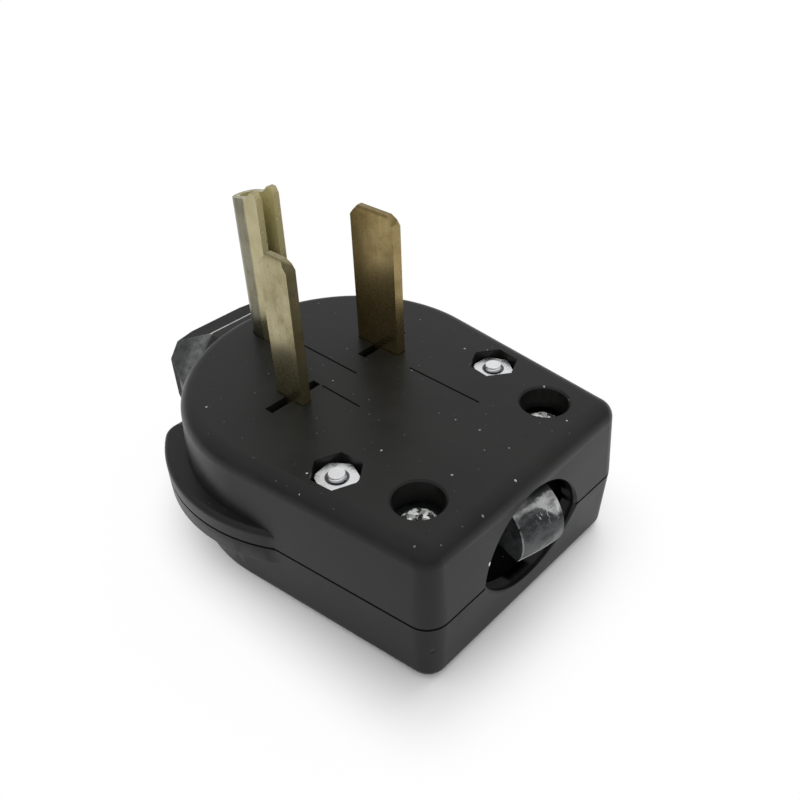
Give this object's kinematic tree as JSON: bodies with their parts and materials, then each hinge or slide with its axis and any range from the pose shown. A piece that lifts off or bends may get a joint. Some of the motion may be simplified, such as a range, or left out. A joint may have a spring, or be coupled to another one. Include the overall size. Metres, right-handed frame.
{
  "type": "right-angle mains plug",
  "caption": "Right-angle rewirable plug: D-shaped black housing with flat blades of unequal width, a folded U-shaped earth pin, sunk hexagon nuts, a pull lug and a cord opening with a clamp.",
  "frame": {"origin": "on the resting face of the back cover, below the midpoint between the two cover bolts", "axes": "+X towards the cord end, +Y across the plug towards the wide blade, +Z out of the mating face along the blades"},
  "size_m": [0.0911, 0.0696, 0.0614],
  "materials": {
    "housing": "satin, fine moulded grain",
    "brass": "dull, lightly tarnished",
    "plated_steel": "zinc plated",
    "clamp": "scuffed"
  },
  "bodies": {
    "root": {"face_body": "housing", "back_cover": "housing", "narrow_blade": "brass", "wide_blade": "brass", "earth_pin": "brass", "cord_clamp": "clamp", "cover_bolt_near": "plated_steel", "cover_bolt_far": "plated_steel", "cover_nut_near": "plated_steel", "cover_nut_far": "plated_steel", "clamp_screw_near": "plated_steel", "clamp_screw_far": "plated_steel", "clamp_nut_near": "plated_steel", "clamp_nut_far": "plated_steel", "wire_clamp_narrow": "brass", "wire_clamp_wide": "brass", "wire_clamp_earth": "brass", "terminal_screw_narrow": "brass", "terminal_screw_wide": "brass", "terminal_screw_earth": "brass"}
  },
  "joints": []
}
